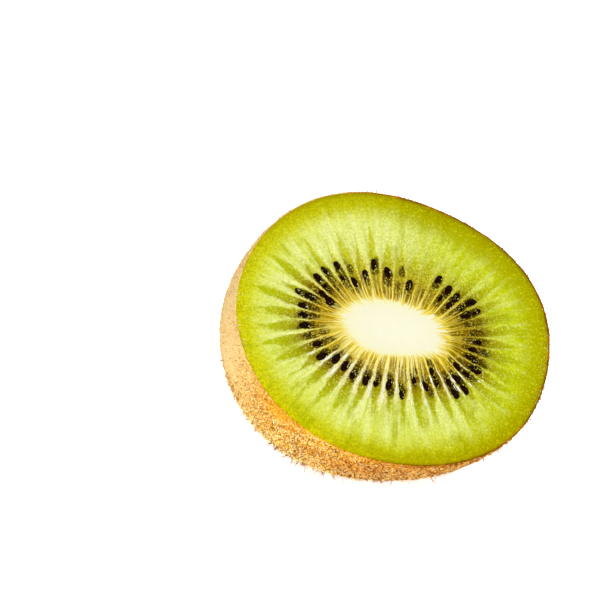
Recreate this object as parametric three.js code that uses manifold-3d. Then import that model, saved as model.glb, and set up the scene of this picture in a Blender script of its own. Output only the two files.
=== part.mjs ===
// Half of a kiwi fruit, cut across its middle.
//
// Millimetres, +Z up. The half is first built upright in the fruit's own frame: the cut
// face lies in the XY plane with its long axis along X, and the fruit hangs below it down
// to the stem end at -Z. It is then rolled and tilted to the way it lies on a table, cut
// face up and to the front (-Y), on a small flat spot of its skin. The origin is the
// middle of the bounding box's underside.
//
// A point of the cut face is named by two shares: "turn", how far round the fruit, and
// "reach", 0 at the edge of the core and 1 at the skin. The walls between the locules are
// the straight lines of equal turn.

import * as THREE from "three";
import { mergeVertices } from "three/addons/utils/BufferGeometryUtils.js";
import Module from "manifold-3d";

// The whole fruit
const FACE_LONG = 56.6; // cut face, along its long axis
const FACE_SHORT = 47.4; // cut face, across it
const HALF_LENGTH = 34; // cut face to stem end
const SHOULDER_POWER = 2.3; // 2 makes the side an ellipse, and more makes it blunter
const FACE_WAVES = [
  // unevenness of the outline: waves in one round, share of the width, start in radians
  { count: 3, share: 0.0033, start: -0.9 },
  { count: 4, share: 0.0096, start: -2.45 },
  { count: 5, share: 0.0049, start: -3.08 },
];
const SIDE_DENT = 0.011; // depth share of the shallow dents between stem end and cut
const SIDE_DENT_COUNT = 3; // dents in one round
const SIDE_DENT_TWIST = 2.2; // how far a dent turns on its way down, in radians
const SIDE_DENT_DROP = 0.4; // share of a dent that also shortens the fruit

// The way it lies
const TILT = 51.8; // degrees from flat that the cut face leans to the front
const ROLL = -22; // degrees that the long axis is rolled in the face
const FLAT_DEPTH = 0.95; // how much the skin is flattened where the fruit rests

// The core
const CORE_LONG = 20.8;
const CORE_SHORT = 10.7;
const CORE_MIDDLE = new THREE.Vector3(-0.35, -0.4, 0); // from the middle of the face
const CORE_WAVES = [
  { count: 2, share: 0.023, start: -0.45 },
  { count: 3, share: 0.014, start: 0.23 },
  { count: 4, share: 0.027, start: 2.36 },
  { count: 5, share: 0.031, start: 2.85 },
];
const CORE_FAN = 0.028; // how far the walls fan out from the core's ends, as a turn
const CORE_RISE = 0.25; // how far the firm core stands above the soft flesh
const CORE_STEP = [-0.02, 0.1]; // reaches between which the core slopes to the flesh

// The flesh round it
const LOCULES = 42;
const LOCULE_DEPTH = 0.34; // sag of the soft locules between their walls
const LOCULE_START = [0.03, 0.18]; // reaches between which the sag sets in
const LOCULE_END = [0.41, 0.66]; // reaches between which it runs out
const RIM_BEVEL = 0.4; // rounding of the flesh and skin along the cut
const RIM_BEVEL_START = 0.94; // reach
const CUT_WAVE = 0.12; // height of the long, low waves that the knife left
const CUT_WAVE_SPAN = [7, 9]; // their length along and across the face, for one radian
const CUT_WAVE_START = [0.6, -0.4]; // in radians

// The seeds
const SEED_LENGTH = 2.25;
const SEED_WIDTH = 1.3;
const SEED_THICKNESS = 1.15;
const SEED_TAPER = 0.28; // how much wider the outer end is, and narrower the inner
const SEED_REACH = 0.255; // middle of the ring of seeds
const SEED_SPREAD = 0.12; // how far a seed strays from it at most, as a reach
const SEED_LIMITS = [0.1, 0.42]; // the least and the most reach of any seed
const SEED_STRAY = 0.36; // sideways play of a seed, in widths of its locule
const SEED_SHARES = [0.86, 1.1]; // the least and the most share of full size
const SEED_CROOK = 0.7; // range of the seeds' slant, in radians
const SEED_SINKS = [0.015, 0.315]; // depth of a seed's middle below the flesh
const CROWDED_TURNS = [0.12, 0.41, 0.88]; // where a locule holds a second seed
const CROWDED_WIDTH = 0.055; // half the width of such a stretch, as a turn
const SECOND_SEED_STEP = 0.12; // reach from one seed of a pair to the other
const EMPTY_SHARE = 0.17; // share of the locules whose first seed lies below the cut
const SEED_DRAW = 1100; // start of the row of random numbers

// The stem scar at the far end. Distances from its middle are shares of its radius.
const SCAR_RADIUS = 4.4;
const SCAR_OVAL = 0.1; // how much longer than wide it is, as a share
const SCAR_OVAL_START = 1; // in radians
const SCAR_RISE = 0.55; // the dry collar stands above the skin
const SCAR_COLLAR = [0.2, 0.55, 0.8, 1.02]; // it rises between the first two, and falls
const SCAR_CREVICE = 0.35; // depth of the crack round it
const SCAR_CRACK = [0.85, 1.1, 1.7]; // where the crack begins, is deepest and ends
const SCAR_PIT = 0.7; // depth of the hole that the stalk left
const SCAR_HOLE = [0.1, 0.45]; // where the hole's floor ends and its side ends

// Fineness of the mesh
const FACE_STEPS = 4 * LOCULES; // points round the cut face
const SKIN_STEPS = FACE_STEPS / 2; // points round the skin
const CORE_RINGS = [
  // share of the way from the core's middle to its edge, and points round
  { share: 0.3, steps: FACE_STEPS / 8 },
  { share: 0.58, steps: FACE_STEPS / 4 },
  { share: 0.83, steps: FACE_STEPS / 2 },
];
const FLESH_REACHES = [
  0, 0.05, 0.12, 0.22, 0.34, 0.46, 0.58, 0.7, 0.84, 0.95, 1,
];
const SKIN_RINGS = 16; // from the cut to the stem scar
const SCAR_RINGS = [1.9, 1.5, 1.25, 1.08, 0.94, 0.76, 0.5, 0.3, 0.12]; // of its radius
const PIT_RINGS = 2; // the innermost of them have a quarter of the points
const OUTLINE_STEPS = 840; // lengths measured along an outline

const FULL_TURN = 2 * Math.PI;

// Numbers from 0 to 1 that look random and are the same in each run.
function makeDraw(start) {
  let state = start;
  return () => {
    state = (state * 1664525 + 1013904223) % 4294967296;
    return state / 4294967296;
  };
}

function smoothStep([from, to], value) {
  return THREE.MathUtils.smoothstep(value, from, to);
}

// An oval with slight waves in it, as grown outlines have.
class WavyOval extends THREE.Curve {
  constructor(long, short, waves, middle) {
    super();
    Object.assign(this, { long, short, waves, middle });
    this.arcLengthDivisions = OUTLINE_STEPS;
  }

  getPoint(share, target = new THREE.Vector3()) {
    const angle = share * FULL_TURN;
    let swell = 1;
    for (const wave of this.waves)
      swell += wave.share * Math.cos(wave.count * angle + wave.start);
    target.set(this.long * Math.cos(angle), this.short * Math.sin(angle), 0);
    return target.multiplyScalar(swell / 2).add(this.middle);
  }

  // A turn counts length along the outline, not angle.
  pointAtTurn(turn) {
    return this.getPointAt(THREE.MathUtils.euclideanModulo(turn, 1));
  }
}

const faceMiddle = new THREE.Vector3();
const faceOutline = new WavyOval(FACE_LONG, FACE_SHORT, FACE_WAVES, faceMiddle);
const coreOutline = new WavyOval(
  CORE_LONG,
  CORE_SHORT,
  CORE_WAVES,
  CORE_MIDDLE,
);

// A point of the cut's plane.
function facePoint(turn, reach) {
  const coreTurn = turn - CORE_FAN * Math.sin(2 * turn * FULL_TURN);
  return coreOutline
    .pointAtTurn(coreTurn)
    .lerp(faceOutline.pointAtTurn(turn), reach);
}

// Height of the cut flesh over the cut's plane.
function fleshHeight(point, turn, reach) {
  const acrossLocule = Math.sin(Math.PI * (turn * LOCULES)) ** 2;
  const alongLocule =
    smoothStep(LOCULE_START, reach) * (1 - smoothStep(LOCULE_END, reach));
  const core = CORE_RISE * (1 - smoothStep(CORE_STEP, reach));
  const wave =
    Math.sin(point.x / CUT_WAVE_SPAN[0] + CUT_WAVE_START[0]) *
    Math.cos(point.y / CUT_WAVE_SPAN[1] + CUT_WAVE_START[1]);
  const bevel = RIM_BEVEL * smoothStep([RIM_BEVEL_START, 1], reach);
  return (
    core - LOCULE_DEPTH * acrossLocule * alongLocule + CUT_WAVE * wave - bevel
  );
}

// Share of the cut face's width at a share of the half's length.
function shoulder(depth) {
  return (1 - depth ** SHOULDER_POWER) ** (1 / SHOULDER_POWER);
}

// A point of the skin. Slope runs from 0 at the cut to 1 at the stem end.
function skinPoint(turn, slope) {
  const angle = (slope * Math.PI) / 2;
  const depth = Math.sin(angle) ** (2 / SHOULDER_POWER);
  const width = shoulder(Math.min(depth, 1));
  const dent =
    SIDE_DENT *
    Math.sin(Math.PI * slope) *
    Math.sin(SIDE_DENT_COUNT * turn * FULL_TURN + SIDE_DENT_TWIST * slope);
  const point = faceOutline
    .pointAtTurn(turn)
    .multiplyScalar(width * (1 + dent));
  const length = (HALF_LENGTH - RIM_BEVEL) * (1 + SIDE_DENT_DROP * dent);
  const lift = scarLift(Math.hypot(point.x, point.y), turn);
  point.z = -RIM_BEVEL - length * depth - lift;
  return point;
}

// How far the stem scar stands out of the skin, at a distance from the stem end.
function scarLift(distance, turn) {
  const oval = Math.cos(2 * turn * FULL_TURN + SCAR_OVAL_START);
  const share = distance / (SCAR_RADIUS * (1 + SCAR_OVAL * oval));
  const collar =
    smoothStep(SCAR_COLLAR.slice(0, 2), share) -
    smoothStep(SCAR_COLLAR.slice(2), share);
  const crevice =
    smoothStep(SCAR_CRACK.slice(0, 2), share) -
    smoothStep(SCAR_CRACK.slice(1), share);
  const pit = 1 - smoothStep(SCAR_HOLE, share);
  return SCAR_RISE * collar - SCAR_CREVICE * crevice - SCAR_PIT * pit;
}

// Skin slopes: even steps down the side, then close rings over the stem scar.
function skinSlopes() {
  const middleWidth = 0.25 * (FACE_LONG + FACE_SHORT);
  const scarSlopes = SCAR_RINGS.map((ring) => {
    const width = (ring * SCAR_RADIUS) / middleWidth;
    return Math.acos(width ** (SHOULDER_POWER / 2)) / (Math.PI / 2);
  });
  const slopes = [];
  for (let i = 0; i < SKIN_RINGS; i++)
    slopes.push((scarSlopes[0] * i) / SKIN_RINGS);
  return slopes.concat(scarSlopes);
}

// A closed skin of triangles is built ring by ring, from the middle of the core out
// over the cut, round its edge and down to the stem end.
class RingMesh {
  positions = [];
  triangles = [];
  lastRing = null;

  addRing(points) {
    const ring = points.map((point) => {
      this.positions.push(point.x, point.y, point.z);
      return this.positions.length / 3 - 1;
    });
    if (this.lastRing) this.join(this.lastRing, ring);
    this.lastRing = ring;
  }

  // The rings hold equal numbers of points, or one holds a whole number of times the
  // other's, as where the middle is a single point.
  join(inner, outer) {
    const finer = inner.length > outer.length ? inner : outer;
    const coarser = finer === inner ? outer : inner;
    const ratio = finer.length / coarser.length;
    const outward = finer === outer;
    const nearest = (i) =>
      coarser[Math.floor((i + ratio / 2) / ratio) % coarser.length];
    for (let i = 0; i < finer.length; i++) {
      const next = (i + 1) % finer.length;
      const near = nearest(i);
      const far = nearest(i + 1);
      this.addTriangle(near, finer[i], finer[next], outward);
      if (near !== far) this.addTriangle(near, finer[next], far, outward);
    }
  }

  addTriangle(a, b, c, forward) {
    if (forward) this.triangles.push(a, b, c);
    else this.triangles.push(a, c, b);
  }
}

function ringOf(count, place) {
  return Array.from({ length: count }, (_, i) => place(i / count));
}

function fleshPoint(turn, reach) {
  const point = facePoint(turn, reach);
  point.z = fleshHeight(point, turn, reach);
  return point;
}

function corePoint(turn, share) {
  const point = CORE_MIDDLE.clone().lerp(facePoint(turn, 0), share);
  point.z = fleshHeight(point, turn, 0);
  return point;
}

function fruitMesh() {
  const mesh = new RingMesh();
  mesh.addRing(ringOf(1, () => corePoint(0, 0)));
  for (const { share, steps } of CORE_RINGS)
    mesh.addRing(ringOf(steps, (turn) => corePoint(turn, share)));
  for (const reach of FLESH_REACHES)
    mesh.addRing(ringOf(FACE_STEPS, (turn) => fleshPoint(turn, reach)));
  const slopes = skinSlopes();
  for (const slope of slopes.slice(1, -PIT_RINGS))
    mesh.addRing(ringOf(SKIN_STEPS, (turn) => skinPoint(turn, slope)));
  for (const slope of slopes.slice(-PIT_RINGS))
    mesh.addRing(ringOf(SKIN_STEPS / 4, (turn) => skinPoint(turn, slope)));
  mesh.addRing(ringOf(1, () => skinPoint(0, 1)));
  return mesh;
}

// Where each seed lies: its turn and reach, its share of full size, its slant and depth.
function seedPlaces() {
  const draw = makeDraw(SEED_DRAW);
  const drawFrom = ([least, most]) => least + (most - least) * draw();
  const places = [];
  for (let locule = 0; locule < LOCULES; locule++) {
    const middle = (locule + 0.5) / LOCULES;
    const crowded = CROWDED_TURNS.some(
      (turn) => Math.abs(middle - turn) < CROWDED_WIDTH,
    );
    const empty = draw() < EMPTY_SHARE;
    const strayed = SEED_REACH + SEED_SPREAD * (draw() + draw() - 1);
    const side = draw() < 0.5 ? -1 : 1;
    for (let seed = 0; seed < 2; seed++) {
      const place = {
        turn: middle + (SEED_STRAY * (draw() - 0.5)) / LOCULES,
        reach: strayed + seed * side * SECOND_SEED_STEP,
        size: drawFrom(SEED_SHARES),
        crook: SEED_CROOK * (draw() - 0.5),
        sink: drawFrom(SEED_SINKS),
      };
      place.reach = THREE.MathUtils.clamp(place.reach, ...SEED_LIMITS);
      if (seed === 0 ? !empty : crowded) places.push(place);
    }
  }
  return places;
}

// A drop-shaped seed, pointed towards the core.
function seedGeometry(place) {
  const geometry = bareGeometry(new THREE.OctahedronGeometry(1, 1));
  const positions = geometry.getAttribute("position");
  for (let i = 0; i < positions.count; i++)
    positions.setY(i, positions.getY(i) * (1 + SEED_TAPER * positions.getX(i)));
  const inner = facePoint(place.turn, 0);
  const outer = facePoint(place.turn, 1);
  const heading = Math.atan2(outer.y - inner.y, outer.x - inner.x);
  const base = fleshPoint(place.turn, place.reach);
  return geometry
    .scale(SEED_LENGTH / 2, SEED_WIDTH / 2, SEED_THICKNESS / 2)
    .scale(place.size, place.size, place.size)
    .rotateZ(heading + place.crook)
    .translate(base.x, base.y, base.z - place.sink);
}

const wasm = await Module();
wasm.setup();

function solidOf(positions, triangles) {
  return new wasm.Manifold(
    new wasm.Mesh({
      numProp: 3,
      vertProperties: new Float32Array(positions),
      triVerts: new Uint32Array(triangles),
    }),
  );
}

// One point at each corner, without normals or texture coordinates.
function bareGeometry(geometry) {
  geometry.deleteAttribute("normal");
  geometry.deleteAttribute("uv");
  return mergeVertices(geometry);
}

function solidFrom(geometry) {
  return solidOf(geometry.getAttribute("position").array, geometry.index.array);
}

function geometryOf(solid) {
  const mesh = solid.getMesh();
  const geometry = new THREE.BufferGeometry();
  geometry.setAttribute(
    "position",
    new THREE.BufferAttribute(mesh.vertProperties, 3),
  );
  geometry.setIndex(new THREE.BufferAttribute(mesh.triVerts, 1));
  geometry.computeVertexNormals();
  return geometry;
}

// The turn from the fruit's own frame to the way it lies.
const lying = new THREE.Matrix4()
  .makeRotationX(THREE.MathUtils.degToRad(TILT))
  .multiply(
    new THREE.Matrix4().makeRotationZ(THREE.MathUtils.degToRad(ROLL)),
  );

function boxWhenLying(positions) {
  const box = new THREE.Box3();
  const point = new THREE.Vector3();
  for (let i = 0; i < positions.length; i += 3)
    box.expandByPoint(point.fromArray(positions, i).applyMatrix4(lying));
  return box;
}

// A block that takes away what lies below the flat spot, in the fruit's own frame.
function tableGeometry(underside) {
  const side = 2 * FACE_LONG;
  return bareGeometry(new THREE.BoxGeometry(side, side, side))
    .translate(0, 0, underside + FLAT_DEPTH - side / 2)
    .applyMatrix4(lying.clone().invert());
}

function kiwiGeometry() {
  const fruit = fruitMesh();
  const table = tableGeometry(boxWhenLying(fruit.positions).min.z);
  let solid = solidOf(fruit.positions, fruit.triangles);
  solid = solid.subtract(solidFrom(table));
  for (const place of seedPlaces())
    solid = solid.add(solidFrom(seedGeometry(place)));
  return geometryOf(solid);
}

const geometry = kiwiGeometry();
const material = new THREE.MeshStandardMaterial({
  name: "kiwi_flesh",
  color: 0xa9bd2b,
  roughness: 0.35,
  metalness: 0,
});
const kiwi = new THREE.Mesh(geometry, material);
kiwi.name = "kiwi_half";
kiwi.rotation.z = THREE.MathUtils.degToRad(ROLL);

const tilted = new THREE.Group();
tilted.rotation.x = THREE.MathUtils.degToRad(TILT);
tilted.add(kiwi);

const box = boxWhenLying(geometry.getAttribute("position").array);
const middle = box.getCenter(new THREE.Vector3());
tilted.position.set(-middle.x, -middle.y, -box.min.z);

const group = new THREE.Group();
group.name = "kiwi_fruit_half";
group.add(tilted);

export default group;
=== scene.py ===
import math

import bpy
import numpy as np
from mathutils import Matrix, Vector


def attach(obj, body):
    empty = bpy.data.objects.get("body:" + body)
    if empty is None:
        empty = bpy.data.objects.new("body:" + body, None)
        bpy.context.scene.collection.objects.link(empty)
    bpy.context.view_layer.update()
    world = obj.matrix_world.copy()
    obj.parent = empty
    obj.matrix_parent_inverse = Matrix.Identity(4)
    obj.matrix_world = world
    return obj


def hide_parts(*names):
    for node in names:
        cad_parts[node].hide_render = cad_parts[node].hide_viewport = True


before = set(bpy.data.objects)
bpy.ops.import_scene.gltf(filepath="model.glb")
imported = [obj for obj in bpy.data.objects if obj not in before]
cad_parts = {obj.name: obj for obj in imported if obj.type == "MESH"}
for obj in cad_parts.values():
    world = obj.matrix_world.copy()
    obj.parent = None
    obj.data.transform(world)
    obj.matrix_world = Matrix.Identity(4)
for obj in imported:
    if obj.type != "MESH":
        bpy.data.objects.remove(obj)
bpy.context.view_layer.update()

# Half of a kiwi fruit, cut across its middle and lying on its skin. The fruit's own frame
# is in millimetres: the cut face lies in the XY plane with its long axis along X, and the
# stem end is below it. Points are worked out there, then laid down and made metres. A
# point of the cut has a turn, its share of the way round, and a reach, from -1 at the
# middle of the core to 0 at its edge and 1 at the skin.

MM = 0.001
NODE = "kiwi_half"
BODY = "root"
FULL_TURN = 2 * math.pi

# The fruit, as in its solid
FACE_LONG = 56.6
FACE_SHORT = 47.4
FACE_WAVES = ((3, 0.0033, -0.9), (4, 0.0096, -2.45), (5, 0.0049, -3.08))
HALF_LENGTH = 34
SHOULDER_POWER = 2.3
SIDE_DENT = 0.011
SIDE_DENT_COUNT = 3
SIDE_DENT_TWIST = 2.2
TILT = math.radians(51.8)
ROLL = math.radians(-22)
FACE_MIDDLE = (-0.13, -8.69, 28.71)  # of the cut, where the fruit lies

CORE_LONG = 20.8
CORE_SHORT = 10.7
CORE_MIDDLE = (-0.35, -0.4)
CORE_WAVES = ((2, 0.023, -0.45), (3, 0.014, 0.23), (4, 0.027, 2.36), (5, 0.031, 2.85))
CORE_FAN = 0.028
CORE_RISE = 0.25

LOCULES = 42
ROUND_RADIUS = LOCULES / FULL_TURN  # of a circle as long as the locules are many
LOCULE_DEPTH = 0.34
LOCULE_START = 0.03
LOCULE_END = 0.66
LOCULE_FADES = (0.15, 0.25)  # reach over which they begin and end
RIM_BEVEL = 0.4
CUT_WAVE = 0.12
CUT_WAVE_SIZES = (7, 9)

SEED_LENGTH = 2.25
SEED_WIDTH = 1.3
SEED_THICKNESS = 1.15
HALF_SEED = np.array((SEED_LENGTH, SEED_WIDTH, SEED_THICKNESS)) / 2
SEED_REACH = 0.255
SEED_SPREAD = 0.12
SEED_SINK = 0.12
CROWDED_TURNS = (0.12, 0.41, 0.88)
CROWDED_WIDTH = 0.055
SECOND_SEED_STEP = 0.12
SEED_REACH_LIMITS = (0.1, 0.42)
SEED_STRAY = 0.36  # share of a locule's width
SEED_CROOK = 0.7
EMPTY_SHARE = 0.17
SEED_DRAW = 1100
SUNKEN = ((0.48, 0.13, 0.7), (0.9, 0.12, 0.7), (0.07, 0.08, 0.6), (0.125, 0.03, 0.6))

SCAR_RADIUS = 4.4
SCAR_RISE = 0.55
SCAR_CREVICE = 0.35
SCAR_PIT = 0.7
SCAR_INSET = 0.035  # share of the length by which the inside stays back from the scar

# The turns at which the flesh is palest, greenest, milkiest, deepest at the skin, least
# milky and most stained by the skin, at which its locules are palest, and at which the
# soft flesh round the core is brightest, whitest, dullest and warmest
PALE_TURN = 0.56
GREEN_TURN = 0.17
MILKY_TURN = 0.29
DEEP_TURN = 0.83
BARE_TURN = 0.65
STAINED_TURN = 0.99
FAINT_TURN = 0.27
BRIGHT_TURN = 0.6
WHITE_TURN = 0.7
DULL_TURN = 0.02
WARM_TURN = 0.46
CORE_SHIFTS = ((0.66, -0.03), (0.93, 0.08), (0.1, 0.07))  # of its edge inwards, at turns

# Factors of the colours at the dull turn, at the warm one and where browner and painted as shaded
DULLING = (0.5, 0.42, 0.12, 1)
WARMING = (0.76, 0.58, 0.16, 1)
BROWNING_AND_SHADE = (0.71, 0.54, 0.52, 1)

# Patches to a metre in the materials' noise
GRIT_SCALE = 2900
PATCH_SCALE = 1000
CLOUD_SCALE = 260
SAC_SCALE = 2100
SKIN_PATCH_SCALE = 110
SKIN_FLECK_SCALE = 3300
CRAG_SCALE = 900
SEED_FLECK_SCALE = 3500
SEED_PIT_SCALE = 5200
JUICE_SCALE = 700
TABLE_SCALE = 4

# The skin and its hairs
SKIN_THICKNESS = 0.2
FLESH_EDGE = 0.991  # reach where the flesh ends and the skin begins
WORN_MIDDLE = (-26, 1, -9)  # of the side where the hairs wore off
WORN_SIZE = 17.1
RIPE_MIDDLE = (-18.5, -18.5, -2)  # of an orange patch by the cut
RIPE_SIZES = (4, 3.5, 2.2)
BROWN_AND_SHADE_MIDDLE = (-2.5, -23.4, -6)  # of a browner patch below, partly painted shade
BROWN_AND_SHADE_SIZES = (9, 8, 7)
DARK_HAIRS = 0.22  # share of them
HAIR_POINTS = 7  # three round the root, three round the middle and the tip
HAIR_FACES = ((0, 1, 4, 3), (1, 2, 5, 4), (2, 0, 3, 5), (3, 4, 6), (4, 5, 6), (5, 3, 6), (0, 2, 1))
HAIRS = (  # name, start of the draw, count, lengths, rises, thickness, tones, shares lost
    ("short", 101, 19000, (0.4, 0.9), (0.1, 0.7), 0.13, (0.15, 0.9), 0.55, 0),
    ("long", 202, 16000, (0.9, 2.1), (0.05, 0.5), 0.12, (0.3, 1), 0.6, 0),
    ("guard", 303, 3400, (1.2, 2.8), (0.5, 1.8), 0.1, (0, 0.2), 0.85, 0.8),
)
ROOT_POWER = 1.15  # spreads the roots evenly near the cut
LIT_SIDE_SIZE = 34  # of the side painted with paler hairs as if more lit, round the worn one

GRAIN_COUNT = 3600
# Nearly white slivers on the lower walls are painted reflections.
WALL_GLINT_COUNT = 110
WALL_GLINT_TURNS = (0.6, 0.93)
EDGE_COUNT = 110
EDGE_TURNS = (0, 0, 0.53)  # in the middle of the grains at the skin
CRUMBS = 7  # of flesh on a seed
CRUMBED_SEEDS = 0.35  # share of them

TABLE_GLOW = 0.8
LIGHT_LEVEL = 1.56  # on the cut, against which the colours are given
SKIN_LIGHT = 1.54  # the same on the smooth skin
FUR_LIGHT = 0.96  # and among the hairs


def ease(low, high, value):
    """0 below low, 1 above high and smooth between them."""
    share = np.clip((value - low) / (high - low), 0, 1)
    return share * share * (3 - 2 * share)


def blob(distance):
    return np.exp(-distance * distance)


def columns(*values):
    return np.stack(values, axis=-1)


def far(points):
    return np.linalg.norm(points, axis=-1)


def raised(place, height):
    return np.concatenate((place, height[..., None]), axis=-1)


def turned(x, y, angle):
    """A place turned about the origin."""
    return x * np.cos(angle) - y * np.sin(angle), x * np.sin(angle) + y * np.cos(angle)


# Noise for the shapes


def lattice(cells, start):
    """A number from -1 to 1 for each cell of a grid, the same in each run."""
    mixed = cells @ np.array((374761393, 668265263, 1274126177)) + start * 974634777
    mixed = (mixed ^ (mixed >> 13)) * 1103515245
    return ((mixed ^ (mixed >> 16)) & 0xFFFF) / 32767.5 - 1


def soft_noise(points, size, start):
    """Smooth noise from -1 to 1 with waves of about the given size."""
    scaled = points / size
    cell = np.floor(scaled).astype(np.int64)
    share = ease(0, 1, scaled - cell)
    total = np.zeros(points.shape[:-1])
    for corner in np.ndindex(2, 2, 2):
        weights = np.where(np.array(corner) > 0, share, 1 - share)
        total += weights.prod(axis=-1) * lattice(cell + np.array(corner), start)
    return total


# The fruit's form


def oval(angle, long, short, waves, middle):
    swell = 1 + sum(share * np.cos(count * angle + start) for count, share, start in waves)
    x = middle[0] + 0.5 * long * swell * np.cos(angle)
    y = middle[1] + 0.5 * short * swell * np.sin(angle)
    return columns(x, y)


def even_outline(long, short, waves, middle=(0, 0)):
    """A function from turn to point that runs at an even pace round an oval."""
    angles = np.linspace(0, FULL_TURN, 1681)
    points = oval(angles, long, short, waves, middle)
    lengths = np.hypot(*np.diff(points, axis=0).T)
    shares = np.concatenate(((0,), np.cumsum(lengths))) / lengths.sum()

    def place(turn):
        return oval(np.interp(turn % 1, shares, angles), long, short, waves, middle)

    return place


face_outline = even_outline(FACE_LONG, FACE_SHORT, FACE_WAVES)
core_outline = even_outline(CORE_LONG, CORE_SHORT, CORE_WAVES, CORE_MIDDLE)


def core_edge(turn):
    """The core's edge, where the ray that leads to the skin at a turn begins."""
    return core_outline(turn - CORE_FAN * np.sin(2 * turn * FULL_TURN))


def cut_place(turn, reach):
    """Where a point of the cut lies in its plane."""
    core = core_edge(turn)
    flesh = core + (face_outline(turn) - core) * np.maximum(reach, 0)[..., None]
    inner = CORE_MIDDLE + (core - CORE_MIDDLE) * (1 + np.minimum(reach, 0))[..., None]
    return np.where(reach[..., None] > 0, flesh, inner)


def cut_height(place, turn, reach):
    """Height of the cut over its plane, as in the solid."""
    across = np.sin(math.pi * turn * LOCULES) ** 2
    along = ease(LOCULE_START, LOCULE_START + LOCULE_FADES[0], reach)
    along = along * (1 - ease(LOCULE_END - LOCULE_FADES[1], LOCULE_END, reach))
    core = CORE_RISE * (1 - ease(-0.02, 0.1, reach))
    ways = place / CUT_WAVE_SIZES
    wave = np.sin(ways[..., 0] + 0.6) * np.cos(ways[..., 1] - 0.4)
    bevel = RIM_BEVEL * ease(0.94, 1, reach)
    return core - LOCULE_DEPTH * across * along + CUT_WAVE * wave - bevel


def scar_lift(distance, turn):
    """How far the stem scar stands out of the skin."""
    share = distance / (SCAR_RADIUS * (1 + 0.1 * np.cos(2 * turn * FULL_TURN + 1)))
    collar = ease(0.2, 0.55, share) - ease(0.8, 1.02, share)
    crevice = ease(0.85, 1.1, share) - ease(1.1, 1.7, share)
    pit = 1 - ease(0.1, 0.45, share)
    return SCAR_RISE * collar - SCAR_CREVICE * crevice - SCAR_PIT * pit


def skin_place(turn, slope):
    """A point of the skin, from slope 0 at the cut to 1 at the stem end."""
    depth = np.sin(slope * math.pi / 2) ** (2 / SHOULDER_POWER)
    width = np.maximum(1 - depth**SHOULDER_POWER, 0) ** (1 / SHOULDER_POWER)
    dent = SIDE_DENT * np.sin(math.pi * slope)
    dent = dent * np.sin(SIDE_DENT_COUNT * turn * FULL_TURN + SIDE_DENT_TWIST * slope)
    place = face_outline(turn) * (width * (1 + dent))[..., None]
    lift = scar_lift(far(place), turn)
    down = -RIM_BEVEL - (HALF_LENGTH - RIM_BEVEL) * depth * (1 + 0.4 * dent) - lift
    return raised(place, down)


def inside_place(turn, slope, depth):
    """A point at least the given depth inside the skin, and deeper at the stem scar."""
    place = skin_place(turn, slope) * (1 - depth / (0.25 * (FACE_LONG + FACE_SHORT)))
    place[..., 2] *= 1 - SCAR_INSET * ease(0.5, 0.85, slope)
    return place


LYING = np.array(Matrix.Rotation(TILT, 3, "X") @ Matrix.Rotation(ROLL, 3, "Z"))


def lay(points):
    """Points of the fruit's own frame where they lie, in metres, none under the table."""
    laid = (points @ LYING.T + FACE_MIDDLE) * MM
    laid[..., 2] = np.maximum(laid[..., 2], 0)
    return laid


# Meshes


def add_object(name, data):
    thing = bpy.data.objects.new(name, data)
    bpy.context.scene.collection.objects.link(thing)
    return thing


def add_mesh(name, points, faces, material):
    mesh = bpy.data.meshes.new(name)
    mesh.from_pydata(points, [], faces)
    mesh.materials.append(material)
    return add_object(name, mesh)


def make_piece(name, points, faces, material):
    """A piece of the fruit from points of its own frame."""
    piece = add_mesh(name, lay(points).reshape(-1, 3).tolist(), faces, material)
    piece.data.shade_smooth()
    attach(piece, BODY)
    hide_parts(NODE)
    return piece


def add_attribute(piece, name, values, kind="FLOAT", domain="POINT"):
    attribute = piece.data.attributes.new(name, kind, domain)
    key = "value" if kind == "FLOAT" else "vector"
    attribute.data.foreach_set(key, np.ascontiguousarray(values, np.float32).ravel())


def ring_faces(ring_count, step_count):
    """Faces of a closed skin: a first point, rings of equal counts, and a last point."""
    grid = 1 + np.arange(ring_count * step_count).reshape(ring_count, step_count)
    after = np.roll(grid, -1, axis=1)
    first = columns(0 * grid[0], grid[0], after[0])
    quads = columns(grid[:-1], grid[1:], after[1:], after[:-1])
    last = columns(grid[-1], 0 * grid[-1] + grid[-1, -1] + 1, after[-1])
    return first.tolist() + quads.reshape(-1, 4).tolist() + last.tolist()


def ring_corners(faces, values, step_count):
    """Turn and the ring's value at each corner; turns run on to 1 at the seam."""
    corners = []
    for number, face in enumerate(faces):
        step = number % step_count
        for point in face:
            ring, here = divmod(point - 1, step_count)
            here = here if here >= step else step_count
            at_end = ring < 0 or ring == len(values) - 2
            turn = step + 0.5 if at_end else here
            corners.append((turn / step_count, values[ring + 1]))
    return np.array(corners)


def make_shell(name, first, rings, last, material):
    """A piece that is a closed skin, its points and its faces."""
    points = np.concatenate(((first,), rings.reshape(-1, 3), (last,)))
    faces = ring_faces(*rings.shape[:2])
    return make_piece(name, points, faces, material), points, faces


def for_points(ring_values, first=0, last=0):
    """The values of a shell's points from those of its rings and its two ends."""
    return np.concatenate(((first,), ring_values.ravel(), (last,)))


# The seeds


def row_of_draws(state):
    """The same numbers from 0 to 1 as the solid's seeds are drawn from."""
    while True:
        state = (state * 1664525 + 1013904223) % 2**32
        yield state / 2**32


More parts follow.
